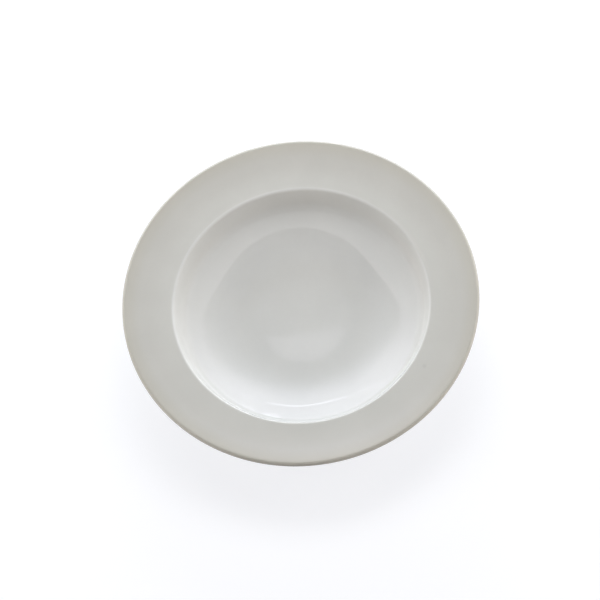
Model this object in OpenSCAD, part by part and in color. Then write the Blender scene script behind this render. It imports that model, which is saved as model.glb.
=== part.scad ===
// A rimmed soup plate: one fired clay body, turned and footed in one piece, under a coat of clear glass glaze.
// All lengths are millimetres. The plate stands on its foot ring at z = 0, and +Z is its axis of turning.
// Every size is that of the finished, glazed plate. The clay lies under it by the depth of the glaze.

/* [Plate] */
// Diameter over the outer edge
plate_d = 230; // [205:1:270]
// Height from the table to the top of the edge
plate_h = 38; // [36:0.5:46]

/* [Well] */
// Diameter of the well, where its wall meets the rim
well_d = 166; // [156:1:180]
// Depth of the well below the shoulder
well_depth = 25.5; // [20:0.5:27]
// Height that the dished lower part of the well climbs before the wall stands up
dish_rise = 10; // [7:0.5:12]
// Slope of the dished part, in degrees
dish_angle = 24; // [19:1:30]
// Slope of the wall under the shoulder, in degrees
wall_angle = 56; // [48:1:66]
// Radius that blends the flat floor into the dished part
dish_curve_r = 88; // [40:1:95]
// Radius that blends the dished part into the wall
wall_curve_r = 14; // [8:1:16]
// Radius of the shoulder between the wall and the rim
shoulder_r = 3.2; // [1.5:0.1:5]

/* [Rim] */
// Height that the rim climbs from the shoulder to the outer edge
rim_rise = 5.5; // [3:0.5:7]
// Depth of the rim's slight hollow below a straight line
rim_hollow = 0.5; // [0.2:0.1:1]
// Radius of that hollow, in the section
rim_curve_r = 260; // [100:10:300]
// Thickness of the rim, square to its face
rim_t = 3.8; // [3.4:0.1:5]
// Radius that rounds the outer edge, over and under
edge_r = 1.7; // [0.8:0.1:1.8]

/* [Body] */
// Thickness of the wall
wall_t = 4.8; // [4:0.1:5.5]
// Thickness of the floor
floor_t = 4.6; // [4:0.1:5]
// Radius under the rim, where it meets the outside of the wall
under_shoulder_r = 9; // [5:0.5:11]
// Radius on the outside, where the wall turns in under the well
haunch_r = 19; // [10:0.5:21]

/* [Foot ring] */
// Diameter of the foot ring outside, at the table
foot_d = 128; // [116:1:134]
// Width of the foot ring at the table
foot_w = 4.4; // [3.8:0.1:6]
// Lean of the foot ring's two faces, in degrees
foot_draft = 9; // [4:1:14]
// Radius of the two edges that the foot ring stands between
foot_edge_r = 1.1; // [0.5:0.1:1.3]
// Radius in the corner outside the foot ring
foot_outer_r = 3; // [1:0.5:4]
// Radius in the corner inside the foot ring
foot_inner_r = 1.4; // [0.8:0.1:1.8]

/* [Glaze] */
// Depth of the glaze over the clay
glaze_t = 0.25; // [0.15:0.05:0.4]
// Height of the bare clay band that is wiped clean round the foot
dry_h = 1.5; // [1.2:0.1:2]

/* [Hidden] */

// Largest turn between two points of a rounded corner, in degrees
arc_step = 2.5;
// Sides drawn round the axis
round_sides = 180;
// How far a cut runs past what it cuts
overrun = 1;
// Where the rim's hollow is deepest, as a share of the rim's width
hollow_share = 0.5;
// The most of a line that its two rounded ends may take, as a share
room_share = 0.96;

plate_r = plate_d / 2;
well_r = well_d / 2;
foot_r = foot_d / 2;

function unit(v) = v / norm(v);
// The side of a direction that faces down and away from the food
function below(way) = [unit(way).y, -unit(way).x];
// The point where two lines cross, each given by a point and a direction
function meet(p, way_p, q, way_q) = p + way_p * cross(q - p, way_q) / cross(way_p, way_q);

// Directions of the section's slopes, pointing away from the axis
level = [1, 0];
upright = [0, 1];
rim_way = [plate_r - well_r, rim_rise];
outer_rim_way = (1 - hollow_share) * rim_way - rim_hollow * below(rim_way);
wall_way = [cos(wall_angle), sin(wall_angle)];
dish_way = [cos(dish_angle), sin(dish_angle)];
foot_outer_way = [sin(foot_draft), cos(foot_draft)];
foot_inner_way = [-sin(foot_draft), cos(foot_draft)];

// Rounding the edge takes this much off its sharp corner, so the corner stands that much over the finished plate
edge_loss = edge_r * ((outer_rim_way.y + norm(outer_rim_way)) / outer_rim_way.x - 1);
shoulder_z = plate_h + edge_loss - rim_rise;
floor_z = shoulder_z - well_depth;
base_z = floor_z - floor_t;

// Corners of the upper face, before they are rounded
edge_top = [plate_r, plate_h + edge_loss];
shoulder = [well_r, shoulder_z];
rim_middle = shoulder + hollow_share * rim_way + rim_hollow * below(rim_way);
wall_foot = shoulder - wall_way * (well_depth - dish_rise) / wall_way.y;
dish_start = wall_foot - dish_way * dish_rise / dish_way.y;

// Corners of the under face: each line lies one thickness below its partner on the upper face
under_rim = edge_top + rim_t * below(rim_way);
edge_under = meet(under_rim, rim_way, edge_top, upright);
under_shoulder = meet(under_rim, rim_way, shoulder + wall_t * below(wall_way), wall_way);
haunch = meet(shoulder + wall_t * below(wall_way), wall_way, wall_foot + wall_t * below(dish_way), dish_way);
foot_outside = [foot_r, 0];
foot_inside = [foot_r - foot_w, 0];
foot_outer_top = meet(foot_outside, foot_outer_way, wall_foot + wall_t * below(dish_way), dish_way);
foot_inner_top = meet(foot_inside, foot_inner_way, [0, base_z], level);

// The section, walked anticlockwise from the axis: corner, radius, and depth of glaze on the line that follows
section = [
    [[0, base_z], 0, glaze_t],
    [foot_inner_top, foot_inner_r, glaze_t],
    [foot_inside, foot_edge_r, 0],
    [foot_outside, foot_edge_r, glaze_t],
    [foot_outer_top, foot_outer_r, glaze_t],
    [haunch, haunch_r, glaze_t],
    [under_shoulder, under_shoulder_r, glaze_t],
    [edge_under, edge_r, glaze_t],
    [edge_top, edge_r, glaze_t],
    [rim_middle, rim_curve_r, glaze_t],
    [shoulder, shoulder_r, glaze_t],
    [wall_foot, wall_curve_r, glaze_t],
    [dish_start, dish_curve_r, glaze_t],
    [[0, floor_z], 0, 0],
];
last = len(section) - 1;
function corner(i) = section[i][0];
function line_way(i) = corner(i + 1) - corner(i);
// +1 where the section bulges out at a corner, and -1 where it is hollow
function bulge(i) = cross(line_way(i - 1), line_way(i)) > 0 ? 1 : -1;
// Length of line that a rounded corner takes on each side of it
function reach(i) =
    i == 0 || i == last ? 0 :
    let (before = unit(line_way(i - 1)), after = unit(line_way(i)))
    section[i][1] * abs(cross(before, after)) / (1 + before * after);
// Where a line is too short for the rounding at its two ends, both radii shrink alike
function ease(i) = min(1, room_share * norm(line_way(i)) / (reach(i) + reach(i + 1)));
function glazed_radius(i) = i == 0 || i == last ? 0 : section[i][1] * min(ease(i - 1), ease(i));

// A line of the section, moved in under its glaze
function clay_line(i) = corner(i) + section[i][2] * [-unit(line_way(i)).y, unit(line_way(i)).x];

function clay_corner(i) =
    i == 0 ? meet(clay_line(0), line_way(0), [0, 0], upright) :
    i == last ? meet(clay_line(last - 1), line_way(last - 1), [0, 0], upright) :
    meet(clay_line(i - 1), line_way(i - 1), clay_line(i), line_way(i));
function clay_radius(i) =
    i == 0 || i == last ? 0 :
    max(0, glazed_radius(i) - bulge(i) * min(section[i - 1][2], section[i][2]));

// The points of an arc of radius r that rounds the corner b between a and c
function rounded(a, b, c, r) =
    let (
        to_a = unit(a - b),
        to_c = unit(c - b),
        half = acos(to_a * to_c) / 2,
        centre = b + unit(to_a + to_c) * r / sin(half),
        start = b + to_a * r / tan(half) - centre,
        sweep = (180 - 2 * half) * (cross(b - a, c - b) > 0 ? 1 : -1),
        steps = ceil(abs(sweep) / arc_step)
    )
    [for (k = [0 : steps]) centre + [
        start.x * cos(sweep * k / steps) - start.y * sin(sweep * k / steps),
        start.x * sin(sweep * k / steps) + start.y * cos(sweep * k / steps)
    ]];

function outline(corners, radii) = [
    for (i = [0 : last])
        each radii[i] == 0 ? [corners[i]] : rounded(corners[i - 1], corners[i], corners[i + 1], radii[i])
];

glazed_outline = outline([for (i = [0 : last]) corner(i)], [for (i = [0 : last]) glazed_radius(i)]);
clay_outline = outline([for (i = [0 : last]) clay_corner(i)], [for (i = [0 : last]) clay_radius(i)]);

// The strip of section that the glaze fills, bare over the height of the dry band
module glaze_section() {
    difference() {
        polygon(glazed_outline);
        polygon(clay_outline);
        translate([-overrun, -overrun])
            square([plate_r + overrun, dry_h + overrun]);
    }
}

// The part of the section inside the foot ring and under the middle of the floor
module inside_foot() {
    translate([-overrun, -overrun])
        square([foot_r - foot_w / 2 + overrun, base_z + floor_t / 2 + overrun]);
}

// The whole clay plate: rim, well, wall and foot ring are one piece
module clay_body() {
    color("Linen")
        rotate_extrude($fn = round_sides)
            polygon(clay_outline);
}

// The glaze over the rim and well, round the edge and down the outside to the foot's dry band
module glaze_coat() {
    color("WhiteSmoke")
        rotate_extrude($fn = round_sides)
            difference() {
                glaze_section();
                inside_foot();
            }
}

// The round patch of glaze under the base, which the dry foot ring cuts off from the rest
module base_glaze() {
    color("White")
        rotate_extrude($fn = round_sides)
            intersection() {
                glaze_section();
                inside_foot();
            }
}

clay_body();
glaze_coat();
base_glaze();
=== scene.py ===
# %% [markdown]
# A rimmed soup plate, dressed in its glaze.
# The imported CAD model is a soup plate 230 mm across: one fired clay body under two coats of clear glaze.
# This notebook gives each of the three a finer mesh and a real finish, then sets a camera, lamps and a floor.
# Everything is in metres. The plate stands on z = 0 and its axis is +Z, exactly as the CAD model has it.

# %% Load the frame
import math

import bmesh
import bpy
import numpy as np
from mathutils import Matrix, Vector


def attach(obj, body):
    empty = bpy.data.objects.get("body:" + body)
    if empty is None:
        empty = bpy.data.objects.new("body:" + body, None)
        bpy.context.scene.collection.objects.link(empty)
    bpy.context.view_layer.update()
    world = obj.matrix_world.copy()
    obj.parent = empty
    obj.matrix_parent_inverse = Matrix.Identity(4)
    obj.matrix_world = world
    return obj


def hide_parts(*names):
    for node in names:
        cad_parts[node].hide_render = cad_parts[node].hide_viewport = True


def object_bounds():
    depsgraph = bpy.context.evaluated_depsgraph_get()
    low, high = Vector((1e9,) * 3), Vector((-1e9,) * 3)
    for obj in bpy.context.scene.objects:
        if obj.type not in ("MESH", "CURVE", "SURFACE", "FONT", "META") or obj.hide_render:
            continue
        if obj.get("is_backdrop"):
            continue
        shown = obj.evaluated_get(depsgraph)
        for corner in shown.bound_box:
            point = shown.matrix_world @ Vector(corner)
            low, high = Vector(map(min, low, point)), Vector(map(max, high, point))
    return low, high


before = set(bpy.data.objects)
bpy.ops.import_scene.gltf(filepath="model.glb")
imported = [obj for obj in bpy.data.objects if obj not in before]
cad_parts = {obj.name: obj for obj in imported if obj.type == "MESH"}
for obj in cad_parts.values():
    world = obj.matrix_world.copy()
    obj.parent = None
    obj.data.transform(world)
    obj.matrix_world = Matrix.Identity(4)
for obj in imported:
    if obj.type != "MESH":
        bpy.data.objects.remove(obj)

MM = 0.001
cad_low, cad_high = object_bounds()
print("CAD nodes:", ", ".join(sorted(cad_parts)))
print("CAD box, mm:", [round((b - a) / MM, 2) for a, b in zip(cad_low, cad_high)])

# %% [markdown]
# The camera.
# A round plate looks like an ellipse from the side, and the ellipse tells where the camera stood.
# It is 0.903 as high as it is wide, so the view comes from 64.6 degrees over the table (the sine is 0.903).
# Its long axis is tipped 9.4 degrees, so the camera is rolled by that much. A long lens from far away keeps
# the well and the edge nearly concentric, as in the photograph.

# %% Place the camera
CAMERA_ELEVATION = math.radians(64.6)
CAMERA_ROLL = math.radians(9.4)
CAMERA_DISTANCE = 8.0
CAMERA_LENS = 748.0
CAMERA_REACH = 100.0
CAMERA_AIM = Vector((-0.00017, 0.00286, 0.03436))

level_right = Vector((1, 0, 0))
level_up = Vector((0, math.sin(CAMERA_ELEVATION), math.cos(CAMERA_ELEVATION)))
view_right = math.cos(CAMERA_ROLL) * level_right - math.sin(CAMERA_ROLL) * level_up
view_up = math.sin(CAMERA_ROLL) * level_right + math.cos(CAMERA_ROLL) * level_up
view_back = view_right.cross(view_up)

scene = bpy.context.scene
camera_data = bpy.data.cameras.new("camera")
camera_data.lens = CAMERA_LENS
camera_data.clip_end = CAMERA_REACH
camera = bpy.data.objects.new("camera", camera_data)
scene.collection.objects.link(camera)
camera.matrix_world = Matrix.Translation(CAMERA_AIM + CAMERA_DISTANCE * view_back) @ (
    Matrix((view_right, view_up, view_back)).transposed().to_4x4()
)
scene.camera = camera
print("camera at", [round(v, 3) for v in camera.matrix_world.translation])

# %% [markdown]
# The section, read from the frame.
# A plate is turned, so one section holds its whole shape. Typing the section again here could drift away from
# the CAD model. Cutting each CAD node by the plane y = 0 gives it exactly, whatever its sizes are.
# The walk starts on the axis, at the node's upper end, and goes out and round to its lower end on the axis.

# %% Cut the CAD nodes
# Points less than this far apart, in metres, count as one
MERGE = 1e-6


def cut_section(node):
    """The outline of a turned CAD node, as rows of radius and height, from its upper end on the axis."""
    cut = bmesh.new()
    cut.from_mesh(node.data)
    bmesh.ops.remove_doubles(cut, verts=cut.verts, dist=MERGE)
    found = bmesh.ops.bisect_plane(
        cut,
        geom=cut.verts[:] + cut.edges[:] + cut.faces[:],
        plane_co=(0, 0, 0),
        plane_no=(0, 1, 0),
        dist=MERGE / 10,
    )
    links = {}
    for edge in found["geom_cut"]:
        if isinstance(edge, bmesh.types.BMEdge) and min(v.co.x for v in edge.verts) > -MERGE:
            first, second = edge.verts
            links.setdefault(first, []).append(second)
            links.setdefault(second, []).append(first)
    ends = [vert for vert in links if len(links[vert]) == 1]
    here = max(ends, key=lambda vert: vert.co.z)
    walked = [here]
    while True:
        ahead = [vert for vert in links[here] if vert not in walked[-2:]]
        if not ahead:
            break
        here = ahead[0]
        walked.append(here)
    rows = [(vert.co.x, vert.co.z) for vert in walked]
    cut.free()
    # The level middles of the floor and base have no point on the axis, so one is added at each end
    return np.array([(0, rows[0][1]), *rows, (0, rows[-1][1])])


sections = {name: cut_section(node) for name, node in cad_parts.items()}
for name, rows in sections.items():
    print(name, len(rows), "points, radius up to", round(rows[:, 0].max() / MM, 2), "mm")

# %% [markdown]
# Tools for an outline.
# CAD joins straight lines and many-sided arcs. Wet clay under a roller, and glaze that has melted, never do:
# one curve runs into the next. Averaging each point with its two neighbours, over and over at fine steps,
# does the same. That takes four small tools: the length along an outline, the point at a length, the heading
# of each step, and the average.

# %% Measure and average an outline


def distance_along(rows):
    """Length of the outline from its start to each point."""
    steps = np.linalg.norm(np.diff(rows, axis=0), axis=1)
    return np.concatenate([[0], np.cumsum(steps)])


def point_on(rows, places):
    """Radius and height of the outline at given lengths along it."""
    along = distance_along(rows)
    return np.stack([np.interp(places, along, rows[:, k]) for k in (0, 1)], axis=-1)


def headings(rows):
    """Direction of each step of the outline, in radians, without jumps."""
    return np.unwrap(np.arctan2(np.diff(rows[:, 1]), np.diff(rows[:, 0])))


def averaged(values, share=1.0):
    """Each row moved towards the mean of its neighbours, with the two ends kept."""
    moved = values.copy()
    moved[1:-1] += share * (values[:-2] - 2 * values[1:-1] + values[2:]) / 4
    return moved


for name, rows in sections.items():
    print(name, "outline is", round(distance_along(rows)[-1] / MM, 1), "mm long")

# %% [markdown]
# Where the real wall stands.
# The mirror images in the near wall show that the real wall is steeper than the CAD model's, and starts
# further out. A second section drawn here could drift away from the frame. So a table says only how far the
# wall sinks at each radius. Its rows up to 78 mm came out of a trial script that isn't handed in. They say
# how far a wall of 67 degrees, with a bend of 12.3 mm up from the same dish, lies below the CAD wall, less
# 0.04 mm. The rows further out were changed until the mirror images fell where the photograph has them. The
# same averaging makes one smooth curve of it. The under face sinks alike, a little further out, so that the
# wall keeps its thickness.

# %% Lower the wall
# Radius of a place on the wall's upper face, and how far it lies below the CAD model's wall, both in mm
WALL_SINK = (
    (69.0, 0.0), (70.0, 0.05), (71.0, 0.2), (72.0, 0.49), (73.0, 0.94), (74.0, 1.52), (75.0, 2.25),
    (76.0, 2.95), (76.5, 3.22), (77.0, 3.44), (77.5, 3.6), (78.0, 3.67), (78.5, 3.5), (79.0, 3.19),
    (79.5, 2.74), (80.0, 2.22), (81.0, 1.13), (82.0, 0.02), (82.5, -0.42), (83.0, -0.55), (83.5, -0.51),
    (84.0, -0.44), (85.0, -0.34), (87.0, -0.21), (89.0, -0.1), (92.0, 0.0),
)
# The curve is drawn between these radii, in steps of this length, both in mm, and averaged this many times
WALL_SPAN = (60, 95)
WALL_STEP = 0.1
WALL_ROUNDS = 40
# A place on the under face goes with the place on the upper face that lies this much nearer the axis
UNDER_SHIFT = 3.4 * MM

wall_radii = np.arange(*WALL_SPAN, WALL_STEP) * MM
wall_sink = np.interp(wall_radii, *(np.array(WALL_SINK).T * MM))
for _ in range(WALL_ROUNDS):
    wall_sink = averaged(wall_sink)


def sunk(rows):
    """The outline with its wall lowered on both faces. The under face comes after the outermost point."""
    under = np.arange(len(rows)) > np.argmax(rows[:, 0])
    lowered = rows.copy()
    lowered[:, 1] -= np.interp(rows[:, 0] - UNDER_SHIFT * under, wall_radii, wall_sink)
    return lowered


print("the wall sinks by up to", round(wall_sink.max() / MM, 2), "mm")

# %% [markdown]
# One fair curve.
# A few rounds of averaging are enough for tight bends, and keep them crisp. The long shallow curves of the
# floor and rim get many more, because a gloss shows every kink.

# %% Soften an outline
FINE_STEP = 0.2 * MM
TIGHT_ROUNDS = 4
SHALLOW_ROUNDS = 150
# How many steps to each side a bend is measured over, and the turn that makes it a tight one
BEND_WINDOW = 12
TIGHT_BEND = math.radians(7)


def softened(rows):
    """The outline at fine equal steps, with tight bends eased a little and shallow curves made fair."""
    length = distance_along(rows)[-1]
    fine = sunk(point_on(rows, np.linspace(0, length, int(length / FINE_STEP) + 1)))
    for _ in range(TIGHT_ROUNDS):
        fine = averaged(fine)
    way = np.pad(headings(fine), (BEND_WINDOW, BEND_WINDOW + 1), mode="edge")
    bend = np.abs(way[2 * BEND_WINDOW :] - way[: -2 * BEND_WINDOW])
    shallow = (bend < TIGHT_BEND).astype(float)
    for _ in range(BEND_WINDOW):
        shallow = averaged(shallow)
    for _ in range(SHALLOW_ROUNDS):
        fine = averaged(fine, shallow[1:-1, None] ** 2)
    return fine


clay_line = softened(sections["clay_body"])
print("clay outline,", len(clay_line), "points, foot at", round(clay_line[:, 1].min() / MM, 4), "mm")

# %% [markdown]
# Where the rings go.
# A ring of mesh points is only worth having where the outline bends, or after a few millimetres of nearly
# straight line. So an outline is described by lengths along it, and the first function below picks the
# lengths that are worth a ring. The second one cuts an outline off where the glaze ends.

# %% Pick lengths along an outline
RING_TURN = math.radians(2.2)
RING_GAP = 2.4 * MM


def ring_places(rows):
    """Lengths along the outline at which it has turned or run far enough for a ring, and its two ends."""
    turns = np.abs(np.diff(headings(rows)))
    along = distance_along(rows)
    kept, turned = [0], 0.0
    for i, turn in enumerate(turns, start=1):
        turned += turn
        if turned > RING_TURN or along[i] - along[kept[-1]] > RING_GAP:
            kept.append(i)
            turned = 0.0
    return along[kept + [len(rows) - 1]]


def down_to(rows, height):
    """The outline from its start to where it first comes down to a height."""
    i = int(np.argmax(rows[:, 1] <= height))
    share = (rows[i - 1, 1] - height) / (rows[i - 1, 1] - rows[i, 1])
    return np.vstack([rows[:i], rows[i - 1] + share * (rows[i] - rows[i - 1])])


print("the clay outline needs", len(ring_places(clay_line)), "rings")

# %% [markdown]
# What the kiln does.
# A fired plate is never quite flat or quite round. At glazing heat the rim softens: its middle slumps by
# about a tenth of a millimetre, and its edge sags a little, more on some sides than on others. A displacement
# texture would move the inside of the glaze apart from the clay under it. One function that moves any point
# of the plate keeps all three pieces bonded.
# The shoulder of the well has drawn in by nearly half a millimetre and stands a little off the middle, as the
# photograph shows. The plate never outgrows its CAD box, and the foot stays flat and where it is.

# %% Warp a point as the kiln does
PLATE_RADIUS = cad_high.x
WARP_START = 75 * MM
SHOULDER_RADIUS = 83 * MM
RIM_SLUMP = 0.12 * MM
RIM_SAG = 0.12 * MM
OUT_OF_ROUND = 0.09 * MM
# Waves round the plate: how many there are, their height as a share, and where they start, in radians
SAG_WAVES = ((2, 0.6, 0.7), (3, 0.4, 2.1))
SQUEEZE_WAVES = ((2, 1.0, 1.9),)
# Radii between which the shoulder's move starts, is whole, and ends again
WELL_RING = (66 * MM, 80 * MM, 86 * MM, 100 * MM)
WELL_DRAW = 0.42 * MM
WELL_OFFSET = (0.25 * MM, -0.64 * MM)


def waves(angle, table):
    """The waves of a table, added up."""
    return sum(height * np.sin(count * angle + start) for count, height, start in table)


def fired(points):
    """Points of the plate, moved to where the kiln leaves them."""
    x, y, z = points[..., 0], points[..., 1], points[..., 2]
    radius, angle = np.hypot(x, y), np.arctan2(y, x)
    outer = np.clip((radius - WARP_START) / (PLATE_RADIUS - WARP_START), 0, 1) ** 2
    sag = outer * RIM_SAG * (1 + waves(angle, SAG_WAVES)) / 2
    squeeze = outer * OUT_OF_ROUND * (1 + waves(angle, SQUEEZE_WAVES)) / 2
    rim = np.clip((radius - SHOULDER_RADIUS) / (PLATE_RADIUS - SHOULDER_RADIUS), 0, 1)
    slump = RIM_SLUMP * np.sin(math.pi * rim) ** 2
    well = np.interp(radius, WELL_RING, (0, 1, 1, 0))
    well = well * well * (3 - 2 * well)
    inward = 1 - (squeeze + well * WELL_DRAW) / np.maximum(radius, MM)
    moved_x = x * inward + well * WELL_OFFSET[0]
    moved_y = y * inward + well * WELL_OFFSET[1]
    return np.stack([moved_x, moved_y, z - slump - sag], axis=-1)


edge = fired(np.array([PLATE_RADIUS, 0, cad_high.z]))
print("a point of the edge moves to", (edge / MM).round(2), "mm")

# %% [markdown]
# Turning a section into a mesh.
# The Screw modifier would turn the section too, but each ring here has to wander a little where the glaze
# ends at the foot. So the rings are made as rows of points, and the faces between them are made in code.
# 288 points round the edge keep it smooth: the widest gap between chord and circle is 0.007 mm.

# %% Make rings and join them
ROUND_POINTS = 288
angles = np.linspace(0, 2 * math.pi, ROUND_POINTS, endpoint=False)


def ring(radius, height):
    """One row of points round the axis. The radius and the height may change with the angle."""
    radius, height = (np.broadcast_to(v, angles.shape) for v in (radius, height))
    return np.stack([radius * np.cos(angles), radius * np.sin(angles), height], axis=-1)


def turned_piece(name, rings, top, bottom):
    """A closed mesh through the rings, ended by points on the axis at the heights top and bottom."""
    points = [(0, 0, top), *fired(np.array(rings)).reshape(-1, 3).tolist(), (0, 0, bottom)]
    first, last = 0, len(points) - 1
    rows = [1 + ROUND_POINTS * i for i in range(len(rings))]
    faces = []
    for j in range(ROUND_POINTS):
        k = (j + 1) % ROUND_POINTS
        faces.append((first, rows[0] + j, rows[0] + k))
        for here, ahead in zip(rows, rows[1:]):
            faces.append((here + j, ahead + j, ahead + k, here + k))
        faces.append((last, rows[-1] + k, rows[-1] + j))
    mesh = bpy.data.meshes.new(name)
    mesh.from_pydata(points, [], faces)
    mesh.shade_smooth()
    piece = bpy.data.objects.new(name, mesh)
    scene.collection.objects.link(piece)
    print(name, "has", len(points), "points and", len(faces), "faces")
    return piece


# %% [markdown]
# The fired clay.
# The body is one piece from the floor to the foot. It shows only on the foot ring, which is wiped clean of
# glaze so that the plate doesn't stick to the kiln shelf. The foot gets a ring every 0.4 mm, because its
# clay is bare, and its edges are the only ones on the plate that rub on tables.

# %% Turn the clay body
FOOT_GAP = 0.4 * MM
dry_height = sections["glaze_coat"][:, 1].min() + MERGE

clay_along = distance_along(clay_line)
bare = clay_along[clay_line[:, 1] < dry_height + MM]
clay_places = ring_places(clay_line)
clay_places = clay_places[(clay_places < bare[0]) | (clay_places > bare[-1])]
clay_places = np.sort(np.concatenate([clay_places, np.arange(bare[0], bare[-1], FOOT_GAP)]))
clay_rows = point_on(clay_line, clay_places)
clay_rings = [ring(radius, height) for radius, height in clay_rows[1:-1]]
clay_body = turned_piece("plate_clay_body", clay_rings, clay_rows[0][1], clay_rows[-1][1])
print("bare foot band from", round(bare[0] / MM, 1), "to", round(bare[-1] / MM, 1), "mm along the outline")

# %% [markdown]
# The glaze.
# Glaze is glass a quarter of a millimetre deep. Where it ends at the foot it runs into a small soft bead, and
# the line wanders, because a sponge wiped it. The Solidify modifier would give a skin with a plain cut edge.
# So each coat is made as its outer face, then the bead, then its inner face back along the clay. Sliding the
# last few millimetres of both faces back along the section makes the line wander and still keeps every point
# on the plate's own surface.

# %% Lay the glaze over the clay
WANDER_FADE = 4 * MM
BEAD_LENGTH = 0.4 * MM
BEAD_SWELL = 0.3
# Where the bead is thickest, in bead lengths from the end of the glaze
BEAD_PLACE = 1.2
# How far the line wanders, and the waves that it wanders in
WANDER = 0.2 * MM
WANDER_WAVES = ((5, 1.0, 0.4), (13, 0.6, 2.0), (29, 0.4, 0.0))
# Distances back from the end of the glaze that get a ring
END_RINGS = np.array([3.2, 2.5, 1.9, 1.4, 1.0, 0.8, 0.65, 0.5, 0.4, 0.3, 0.2, 0.12, 0.05, 0.0]) * MM

wander = WANDER * (2 + waves(angles, WANDER_WAVES))


def back_from_end(rows, back):
    """The outline at a distance back from its last point, slid further back by the wandering of the edge."""
    slide = wander * np.clip(1 - back / WANDER_FADE, 0, 1)
    return point_on(rows, distance_along(rows)[-1] - back - slide)


def glaze_rings(outer, inner):
    """Rings of a coat of glaze between its outer face and the clay, joined by a bead where they end."""
    faces = []
    for rows in (outer, inner):
        places = ring_places(rows)
        plain = places[(places > 0) & (places < distance_along(rows)[-1] - END_RINGS[0])]
        faces.append([ring(radius, height) for radius, height in point_on(rows, plain)])
    for back in END_RINGS:
        clay = back_from_end(inner, back)
        lip = math.sqrt(1 - max(0, 1 - back / BEAD_LENGTH) ** 2)
        swell = 1 + BEAD_SWELL * math.exp(-((back / BEAD_LENGTH - BEAD_PLACE) ** 2))
        outside = clay + (back_from_end(outer, back) - clay) * lip * swell
        faces[0].append(ring(*outside.T))
        if back > 0:
            faces[1].append(ring(*clay.T))
    return faces[0] + faces[1][::-1]


coat_outer = softened(down_to(sections["glaze_coat"], dry_height))
coat_inner = down_to(clay_line, dry_height)
coat_rings = glaze_rings(coat_outer, coat_inner)
glaze_coat = turned_piece("plate_glaze_coat", coat_rings, coat_outer[0][1], coat_inner[0][1])

base_outer = softened(down_to(sections["base_glaze"][::-1], dry_height))
base_inner = down_to(clay_line[::-1], dry_height)
base_rings = glaze_rings(base_outer, base_inner)[::-1]
base_glaze = turned_piece("plate_base_glaze", base_rings, base_inner[0][1], base_outer[0][1])
print("glaze over the floor is", round((coat_outer[0][1] - coat_inner[0][1]) / MM, 3), "mm deep")

# %% [markdown]
# A short way to write materials.
# A material is a tree of nodes. Each call below adds one node, sets its options, and fills its inputs with
# either plain values or other nodes' outputs, so that a finish reads from top to bottom.

# %% Helpers for materials
# Most of what a noise texture gives lies between these two greys
NOISE_RANGE = (0.3, 0.7)


def new_material(name):
    """A new material, its node tree and its main shader."""
    material = bpy.data.materials.new(name)
    material.use_nodes = True
    return material, material.node_tree, material.node_tree.nodes["Principled BSDF"]


def add_node(tree, kind, inputs=None, **options):
    """Adds a node. Values in inputs are set, and outputs of other nodes are linked."""
    node = tree.nodes.new("ShaderNode" + kind)
    for option, value in options.items():
        setattr(node, option, value)
    for place, value in (inputs or {}).items():
        if isinstance(value, bpy.types.NodeSocket):
            tree.links.new(value, node.inputs[place])
        else:
            node.inputs[place].default_value = value
    return node


def maths(tree, operation, *values):
    """The result of one Math node."""
    return add_node(tree, "Math", dict(enumerate(values)), operation=operation).outputs[0]


def spread(tree, value, low, high, to_low, to_high):
    """A value moved from one range to another, smoothly, and kept inside it."""
    settings = {"Value": value, "From Min": low, "From Max": high, "To Min": to_low, "To Max": to_high}
    return add_node(tree, "MapRange", settings, interpolation_type="SMOOTHSTEP").outputs[0]


def noise(tree, place, scale, detail=2.0):
    """A noise texture's grey value, in features of about 1 / scale metres."""
    settings = {"Vector": place, "Scale": scale, "Detail": detail}
    return add_node(tree, "TexNoise", settings).outputs[0]


def mottled(tree, place, scale, low, high):
    """A value that wanders between two levels, in patches of about 1 / scale metres."""
    return spread(tree, noise(tree, place, scale), *NOISE_RANGE, low, high)


def shade(colour, factor):
    """A colour made darker or lighter."""
    return tuple(channel * factor for channel in colour)


def colour_steps(tree, value, steps):
    """A colour ramp through (position, colour) steps."""
    node = add_node(tree, "ValToRGB", {0: value})
    ramp = node.color_ramp
    ramp.interpolation = "EASE"
    while len(ramp.elements) < len(steps):
        ramp.elements.new(0.5)
    for element, (position, colour) in zip(ramp.elements, steps):
        element.position = position
        element.color = (*colour, 1)
    return node.outputs["Color"]


print("helpers ready")

# %% [markdown]
# The white glaze.
# The plate is white porcelain under clear glass, so most of its look is one colour and a clean gloss. The
# photograph shows the rim a little darker and warmer than the well, with the last few millimetres darker
# still, and a thin pale line over the shoulder. The ramp gives the rim its own warmer tint, and paints it
# darker as painted shade. The pale line over the shoulder is a painted highlight. The floor is painted a
# little darker than the well, and small steps over the well lighter and darker, as painted light and shade.
# All of that follows the distance from the axis, so a colour ramp over the radius gives it, from any side.
# Noise adds what a kiln adds: faint clouds in the tone, a faint ripple, and a gloss that isn't quite even.
# One tiny grey speck on the rim is where a grain burnt out under the glaze.

# %% Make the glaze
RADIUS_SPAN = 120 * MM
# The floor is painted a little darker than the well, as painted shade.
FLOOR_WHITE = (0.724, 0.729, 0.712)
WELL_WHITE = (0.738, 0.746, 0.736)
# The rim colours paint the rim darker than the well, as painted shade, and give it a warmer tint of its own.
RIM_WHITE = (0.629, 0.629, 0.601)
OUTER_WHITE = (0.613, 0.608, 0.578)
EDGE_WHITE = (0.583, 0.569, 0.518)
SPECK_PLACE = (71.5 * MM, -57.5 * MM, 34.1 * MM)
SPECK_EDGE = (0.3 * MM, 2.2 * MM)
SPECK_TONE = 0.92
RIPPLE_HEIGHT = 0.0004 * MM
GLAZE_IOR = 1.55

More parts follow.
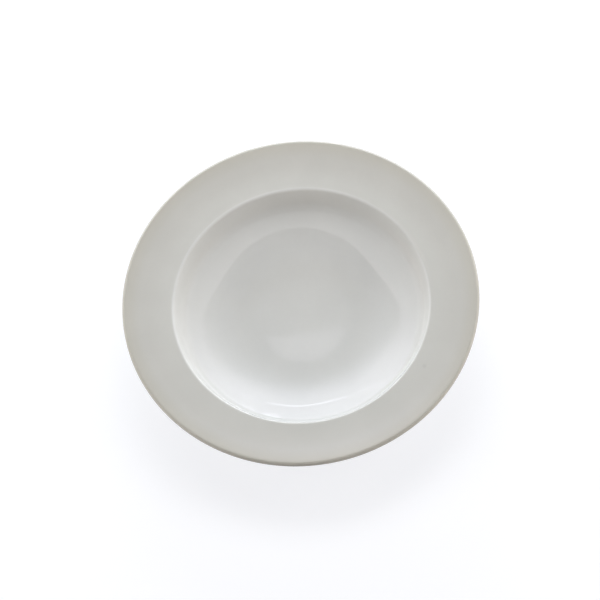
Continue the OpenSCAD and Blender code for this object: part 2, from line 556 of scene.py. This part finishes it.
glaze, tree, shader = new_material("white_glaze")
place = add_node(tree, "TexCoord").outputs["Object"]
flat = add_node(tree, "VectorMath", {0: place, 1: (1, 1, 0)}, operation="MULTIPLY").outputs[0]
radius = add_node(tree, "VectorMath", {0: flat}, operation="LENGTH").outputs["Value"]
tone = colour_steps(
    tree,
    maths(tree, "DIVIDE", radius, RADIUS_SPAN),
    [
        (0.30, FLOOR_WHITE),
        (0.45, WELL_WHITE),
        # These three steps over the well, lighter and darker, are painted light and shade.
        (0.490, shade(WELL_WHITE, 1.01)),
        (0.540, shade(WELL_WHITE, 0.995)),
        (0.605, shade(WELL_WHITE, 0.98)),
        (0.660, WELL_WHITE),
        # These two steps paint a pale line along the shoulder: a painted highlight.
        (0.688, shade(WELL_WHITE, 1.02)),
        (0.700, shade(RIM_WHITE, 1.02)),
        (0.720, shade(RIM_WHITE, 1.01)),
        (0.850, OUTER_WHITE),
        (0.950, EDGE_WHITE),
    ],
)
clouds = mottled(tree, place, scale=32.0, low=0.985, high=1.015)
grain = mottled(tree, place, scale=420.0, low=0.996, high=1.004)
from_speck = add_node(tree, "VectorMath", {0: place, 1: SPECK_PLACE}, operation="DISTANCE").outputs["Value"]
speck = spread(tree, from_speck, *SPECK_EDGE, SPECK_TONE, 1.0)
value = maths(tree, "MULTIPLY", maths(tree, "MULTIPLY", clouds, grain), speck)
toned = add_node(tree, "HueSaturation", {"Value": value, "Color": tone}).outputs[0]
tree.links.new(toned, shader.inputs["Base Color"])
gloss = mottled(tree, place, scale=70.0, low=0.007, high=0.012)
tree.links.new(gloss, shader.inputs["Roughness"])
ripple = add_node(
    tree,
    "Bump",
    {"Strength": 1.0, "Distance": RIPPLE_HEIGHT, "Height": noise(tree, place, scale=120.0, detail=1.0)},
).outputs[0]
tree.links.new(ripple, shader.inputs["Normal"])
shader.inputs["IOR"].default_value = GLAZE_IOR
print("glaze colours: well", WELL_WHITE, "rim", RIM_WHITE)

# %% [markdown]
# The bare clay.
# On the foot the fired clay shows: cream, quite rough, with fine grit and a few darker grains. The very
# bottom is rubbed grey and smoother by every table it has stood on. A painted mask could mark the rubbed
# part, but a table only reaches the lowest third of a millimetre, so the height alone tells where it is.

# %% Make the clay
CLAY = (0.64, 0.60, 0.52)
RUBBED = (0.40, 0.38, 0.34)
# Heights between which the rubbed grey fades out
RUBBED_EDGE = (0.02 * MM, 0.35 * MM)
GRIT_HEIGHT = 0.04 * MM

bare_clay, tree, shader = new_material("bare_fired_clay")
place = add_node(tree, "TexCoord").outputs["Object"]
grit = noise(tree, place, scale=2600.0, detail=4.0)
patches = noise(tree, place, scale=120.0)
grains = add_node(tree, "TexVoronoi", {"Vector": place, "Scale": 900.0}).outputs["Distance"]
height = add_node(tree, "SeparateXYZ", {0: place}).outputs["Z"]
low = spread(tree, height, *RUBBED_EDGE, 1.0, 0.0)
patchy = spread(tree, patches, low=0.35, high=0.6, to_low=0.25, to_high=0.75)
rubbed = maths(tree, "MULTIPLY", low, patchy)
worn = add_node(
    tree,
    "Mix",
    {"Factor": rubbed, "A": (*CLAY, 1), "B": (*RUBBED, 1)},
    data_type="RGBA",
)
grit_tone = spread(tree, grit, *NOISE_RANGE, to_low=0.9, to_high=1.08)
grain_tone = spread(tree, grains, low=0.05, high=0.2, to_low=0.8, to_high=1.0)
value = maths(tree, "MULTIPLY", grit_tone, grain_tone)
tinted = add_node(tree, "HueSaturation", {"Value": value, "Color": worn.outputs["Result"]}).outputs[0]
tree.links.new(tinted, shader.inputs["Base Color"])
smoother = spread(tree, rubbed, low=0.0, high=0.75, to_low=0.88, to_high=0.6)
tree.links.new(smoother, shader.inputs["Roughness"])
rough = add_node(tree, "Bump", {"Strength": 0.6, "Distance": GRIT_HEIGHT, "Height": grit}).outputs[0]
tree.links.new(rough, shader.inputs["Normal"])
print("clay colours: bare", CLAY, "rubbed", RUBBED)

# %% [markdown]
# Dressing the frame.
# Each mesh takes the place of the CAD node that it was turned from, and rides on the frame's one body, since
# nothing on a plate moves.

# %% Put the pieces on the frame
for piece, node, material, slot in (
    (clay_body, "clay_body", bare_clay, "fired_clay"),
    (glaze_coat, "glaze_coat", glaze, "clear_glaze"),
    (base_glaze, "base_glaze", glaze, "clear_glaze"),
):
    piece.data.materials.append(material)
    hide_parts(node)
    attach(piece, "root")
    print(piece.name, "stands for", node)

# %% [markdown]
# The floor and the white behind it.
# The plate lies on a pale floor under a pale sky. What the camera and the gloss see of both is made white by
# Light Path, without more light falling on the plate. The floor's white is partly glow and partly the light
# that falls on it, so that the plate's soft shadow still shows on it.

# %% Make the floor and the sky
FLOOR_SIZE = 60.0
FLOOR_GREY = 0.8
# What is seen of the floor is a darker grey, with this glow added
FLOOR_SEEN = 0.35
FLOOR_GLOW = 0.75
FLOOR_TINT = (0.97, 0.985, 1.03, 1)
SKY_SEEN = 1.1
SKY_TINT = (0.98, 0.99, 1, 1)
FILL = 0.05


def seen_ray(tree):
    """1 for rays from the camera, or by way of gloss or glass, and 0 for plain light."""
    path = add_node(tree, "LightPath").outputs
    through = maths(tree, "MAXIMUM", path["Is Glossy Ray"], path["Is Transmission Ray"])
    return maths(tree, "MAXIMUM", path["Is Camera Ray"], through)


floor_mesh = bpy.data.meshes.new("floor")
half = FLOOR_SIZE / 2
floor_corners = [(-half, -half, 0), (half, -half, 0), (half, half, 0), (-half, half, 0)]
floor_mesh.from_pydata(floor_corners, [], [(0, 1, 2, 3)])
floor = bpy.data.objects.new("floor", floor_mesh)
scene.collection.objects.link(floor)
floor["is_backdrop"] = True

floor_paint, tree, shader = new_material("pale_floor")
tree.nodes.remove(shader)
seen = seen_ray(tree)
darker = maths(tree, "MULTIPLY", seen, FLOOR_GREY - FLOOR_SEEN)
grey = maths(tree, "SUBTRACT", FLOOR_GREY, darker)
matt = add_node(tree, "BsdfDiffuse", {"Color": grey}).outputs[0]
strength = maths(tree, "MULTIPLY", seen, FLOOR_GLOW)
glow = add_node(tree, "Emission", {"Color": FLOOR_TINT, "Strength": strength}).outputs[0]
both = add_node(tree, "AddShader", {0: matt, 1: glow}).outputs[0]
tree.links.new(both, tree.nodes["Material Output"].inputs["Surface"])
floor_mesh.materials.append(floor_paint)

sky = bpy.data.worlds.new("sky")
scene.world = sky
sky.use_nodes = True
tree = sky.node_tree
seen = seen_ray(tree)
strength = maths(tree, "ADD", FILL, maths(tree, "MULTIPLY", seen, SKY_SEEN - FILL))
background = tree.nodes["Background"]
background.inputs["Color"].default_value = SKY_TINT
tree.links.new(strength, background.inputs["Strength"])
print("floor and sky made, fill light", FILL)

# %% [markdown]
# The lamps.
# The light in the photograph was worked out from the plate itself: a round bowl shows each direction of
# light on a different part of its wall. Most of it comes from behind, high and low, which makes the near wall
# of the well the brightest place. The far rim isn't darker than the near one, so the light must fall off
# fast: the soft panels hang only 0.9 m away. A trial script then fitted their shares to the tones of the
# photograph. They were rounded, and some were changed. A share of 1 would light a surface square to that
# panel at the level where colours look as they are written. Coolness tips a lamp's colour from warm (below 0)
# to cool (above 0).

# %% Hang the lamps
LAMP_DISTANCE = 0.9
# Name, elevation and azimuth in degrees, width and height in metres, share, coolness
LAMPS = (
    ("high", 70, 90, 0.35, 0.35, 0.026, 0.0),
    ("back_high", 55, 90, 0.35, 0.35, 0.155, 0.02),
    ("back_high_right", 55, 60, 0.35, 0.35, 0.186, 0.0),
    ("back_high_left", 55, 120, 0.35, 0.35, 0.086, 0.0),
    ("right", 38, 0, 0.45, 0.45, 0.145, -0.01),
    ("left", 38, 180, 0.45, 0.45, 0.10, 0.0),
    ("back_right", 38, 45, 0.45, 0.45, 0.047, 0.0),
    ("back_left", 38, 135, 0.45, 0.45, 0.06, 0.0),
    ("back_low", 16, 90, 0.4, 0.3, 0.475, 0.065),
    ("back_low_right", 16, 60, 0.4, 0.3, 0.154, 0.05),
    ("side_low_right", 16, 0, 0.4, 0.3, 0.106, 0.02),
    ("side_low_left", 16, 180, 0.4, 0.3, 0.257, -0.09),
    ("front_low_right", 16, 330, 0.4, 0.3, 0.246, -0.13),
    ("front_low_left", 16, 210, 0.4, 0.3, 0.066, -0.12),
)


def direction(elevation, azimuth):
    """Unit vector towards an elevation and an azimuth in degrees. Azimuth 0 is +X and 90 is +Y."""
    up, turn = math.radians(elevation), math.radians(azimuth)
    return Vector((math.cos(up) * math.cos(turn), math.cos(up) * math.sin(turn), math.sin(up)))


def hang_lamp(name, elevation, azimuth, width, height, share, coolness):
    """A soft panel that faces the plate and isn't itself seen."""
    data = bpy.data.lights.new("lamp_" + name, "AREA")
    data.shape = "RECTANGLE"
    data.size, data.size_y = width, height
    data.energy = share * (math.pi * LAMP_DISTANCE) ** 2
    data.color = (1 - coolness, 1, 1 + coolness)
    lamp = bpy.data.objects.new("lamp_" + name, data)
    way = direction(elevation, azimuth)
    lamp.location = LAMP_DISTANCE * way
    lamp.rotation_euler = way.to_track_quat("Z", "Y").to_euler()
    lamp.visible_camera = False
    lamp.visible_glossy = False
    scene.collection.objects.link(lamp)


for row in LAMPS:
    hang_lamp(*row)
print(len(LAMPS), "lamps, shares add up to", round(sum(row[5] for row in LAMPS), 2))

# %% [markdown]
# What the gloss shows.
# Glaze is a mirror for a twentieth of the light. The photograph's plate mirrors a dark room over it, a bright
# patch above, a thin bright strip low behind, and windows beside it. More lamps in those places would change
# the light on the plate. So these are flat cards, cut to outline, that glow and that only mirrors can see.

# %% Make a card
# The colour of every card's glow
COOL_WHITE = (0.98, 0.95, 1.08, 1)
HIDDEN_FROM = ("camera", "diffuse", "transmission", "volume_scatter", "shadow")


def card(name, corners, glow):
    """A flat shape for mirrors only. glow is its brightness, or a function that adds nodes for it."""
    mesh = bpy.data.meshes.new("card_" + name)
    mesh.from_pydata(corners, [], [tuple(range(len(corners)))])
    thing = bpy.data.objects.new("card_" + name, mesh)
    scene.collection.objects.link(thing)
    for ray in HIDDEN_FROM:
        setattr(thing, "visible_" + ray, False)
    paint, tree, shader = new_material("card_" + name)
    tree.nodes.remove(shader)
    strength = glow(tree) if callable(glow) else glow
    light = add_node(tree, "Emission", {"Color": COOL_WHITE, "Strength": strength}).outputs[0]
    tree.links.new(light, tree.nodes["Material Output"].inputs["Surface"])
    paint.cycles.emission_sampling = "NONE"
    mesh.materials.append(paint)
    thing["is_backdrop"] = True


print("the cards are hidden from", ", ".join(HIDDEN_FROM))

# %% [markdown]
# The dark room and the bright patch.
# The bell shape in the well is the mirror image of one dark card that hangs level, high over the plate. The
# corners of its outline were picked in the photograph. A trial script then followed the camera's ray to the
# plate and on, up to the card's plane. They were rounded, and some were moved.
# In the photograph the far wall doesn't mirror full dark, so the card pales towards its sides and its back,
# and straight behind the plate it grows brighter than the sky. The patch hangs a little lower.

# %% Cut the dark room and the patch
DARK_HEIGHT = 6.4
PATCH_HEIGHT = 6.0
PATCH_GLOW = 0.8
# Distances sideways and back over which the card pales, and over which the extra glow comes in
SIDE_FADE = (4.8, 6.5)
BACK_FADE = (4.5, 8.5)
EXTRA_FADE = (5.0, 9.5)
# The extra glow ends where the distance sideways, as a share of the distance back, passes these
EXTRA_SLANT = (0.5, 1.2)
BACK_EXTRA = 0.8


def fading_out(tree):
    """The dark card's glow: none in its middle, and as white as the sky at its sides and its back."""
    place = add_node(tree, "TexCoord").outputs["Object"]
    across = add_node(tree, "SeparateXYZ", {0: place}).outputs
    sideways = maths(tree, "ABSOLUTE", across["X"])
    side = spread(tree, sideways, *SIDE_FADE, 0.0, SKY_SEEN)
    pale = maths(tree, "MAXIMUM", side, spread(tree, across["Y"], *BACK_FADE, 0.0, SKY_SEEN))
    slant = maths(tree, "DIVIDE", sideways, maths(tree, "MAXIMUM", across["Y"], 1.0))
    straight = spread(tree, slant, *EXTRA_SLANT, 1.0, 0.0)
    extra = maths(tree, "MULTIPLY", straight, spread(tree, across["Y"], *EXTRA_FADE, 0.0, BACK_EXTRA))
    return maths(tree, "ADD", pale, extra)


DARK_OUTLINE = (
    (60.0, 73.0), (8.0, 5.2), (5.53, 2.44), (4.57, 1.6), (3.71, 0.75), (3.15, 0.05), (2.46, -0.94),
    (1.42, -1.67), (0.39, -2.01), (-0.69, -1.96), (-1.7, -1.54), (-2.57, -0.66), (-3.0, 0.33),
    (-3.45, 1.5), (-4.12, 2.32), (-5.1, 3.61), (-5.7, 4.53), (-8.0, 7.2), (-60.0, 73.0),
)
PATCH_OUTLINE = (
    (-0.06, 2.78), (0.05, 2.78), (0.05, 2.8175), (-0.0205, 2.8175), (-0.0205, 2.8145), (-0.06, 2.8255),
)
card("dark_room", [(x, y, DARK_HEIGHT) for x, y in DARK_OUTLINE], fading_out)
card("patch", [(x, y, PATCH_HEIGHT) for x, y in PATCH_OUTLINE], PATCH_GLOW)
print("the dark room hangs", DARK_HEIGHT, "m up and the patch", PATCH_HEIGHT, "m up")

# %% [markdown]
# The windows.
# The near wall of the well is so steep that it looks past the plate, low to the back. There it mirrors
# upright shapes: a thin strip, a wide window with a bright frame and sill, and two smaller windows. Their
# cards stand 1.2 m behind the plate's middle, and their corners were found in the same way.

# %% Cut the windows
WINDOW_PLACE = 1.2
FRAME_STEP = 0.02
STRIP = (
    (0.339, 0.59), (0.339, 0.63), (0.243, 0.627), (0.172, 0.61), (0.071, 0.606), (-0.017, 0.625),
    (-0.102, 0.623), (-0.19, 0.599), (-0.19, 0.562), (-0.102, 0.58), (-0.017, 0.58), (0.071, 0.565),
    (0.172, 0.568), (0.243, 0.583),
)
LEFT_WINDOW = (
    (0.39, 0.02), (1.1, 0.02), (0.95, 0.6), (0.868, 0.806), (0.737, 0.77), (0.611, 0.732), (0.497, 0.685),
    (0.39, 0.617),
)
LEFT_FRAME = (
    (0.737, 0.76), (0.611, 0.718), (0.497, 0.668), (0.398, 0.60), (0.398, 0.56), (0.497, 0.628),
    (0.611, 0.69),
)
LEFT_SILL = ((0.395, 0.02), (0.57, 0.02), (0.57, 0.42), (0.436, 0.5), (0.395, 0.475))
RIGHT_WINDOW = (
    (-0.267, 0.555), (-0.267, 0.6), (-0.337, 0.575), (-0.409, 0.56), (-0.487, 0.565), (-0.487, 0.53),
    (-0.4, 0.525), (-0.33, 0.535),
)
SMALL_WINDOW = ((0.225, 0.02), (0.335, 0.02), (0.335, 0.468), (0.278, 0.453), (0.225, 0.43))
# Name, outline, how far back the card stands, and its glow
WINDOWS = (
    ("strip", STRIP, WINDOW_PLACE, 4.7),
    ("left_window", LEFT_WINDOW, WINDOW_PLACE, 1.9),
    ("left_frame", LEFT_FRAME, WINDOW_PLACE - FRAME_STEP, 3.2),
    ("left_sill", LEFT_SILL, WINDOW_PLACE - FRAME_STEP, 2.9),
    ("right_window", RIGHT_WINDOW, WINDOW_PLACE, 2.9),
    ("small_window", SMALL_WINDOW, WINDOW_PLACE, 3.5),
)
for name, outline, back, glow in WINDOWS:
    card(name, [(x, back, z) for x, z in outline], glow)
print("windows cut:", ", ".join(row[0] for row in WINDOWS))

# %% [markdown]
# Colour and size.
# The Standard view shows colours as the lamps give them. The box of the finished plate is written next to the
# CAD box, to show that the dressing hasn't outgrown the frame.

# %% Finish
scene.view_settings.view_transform = "Standard"
low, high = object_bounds()
print("finished box, mm:", [round((b - a) / MM, 2) for a, b in zip(low, high)])
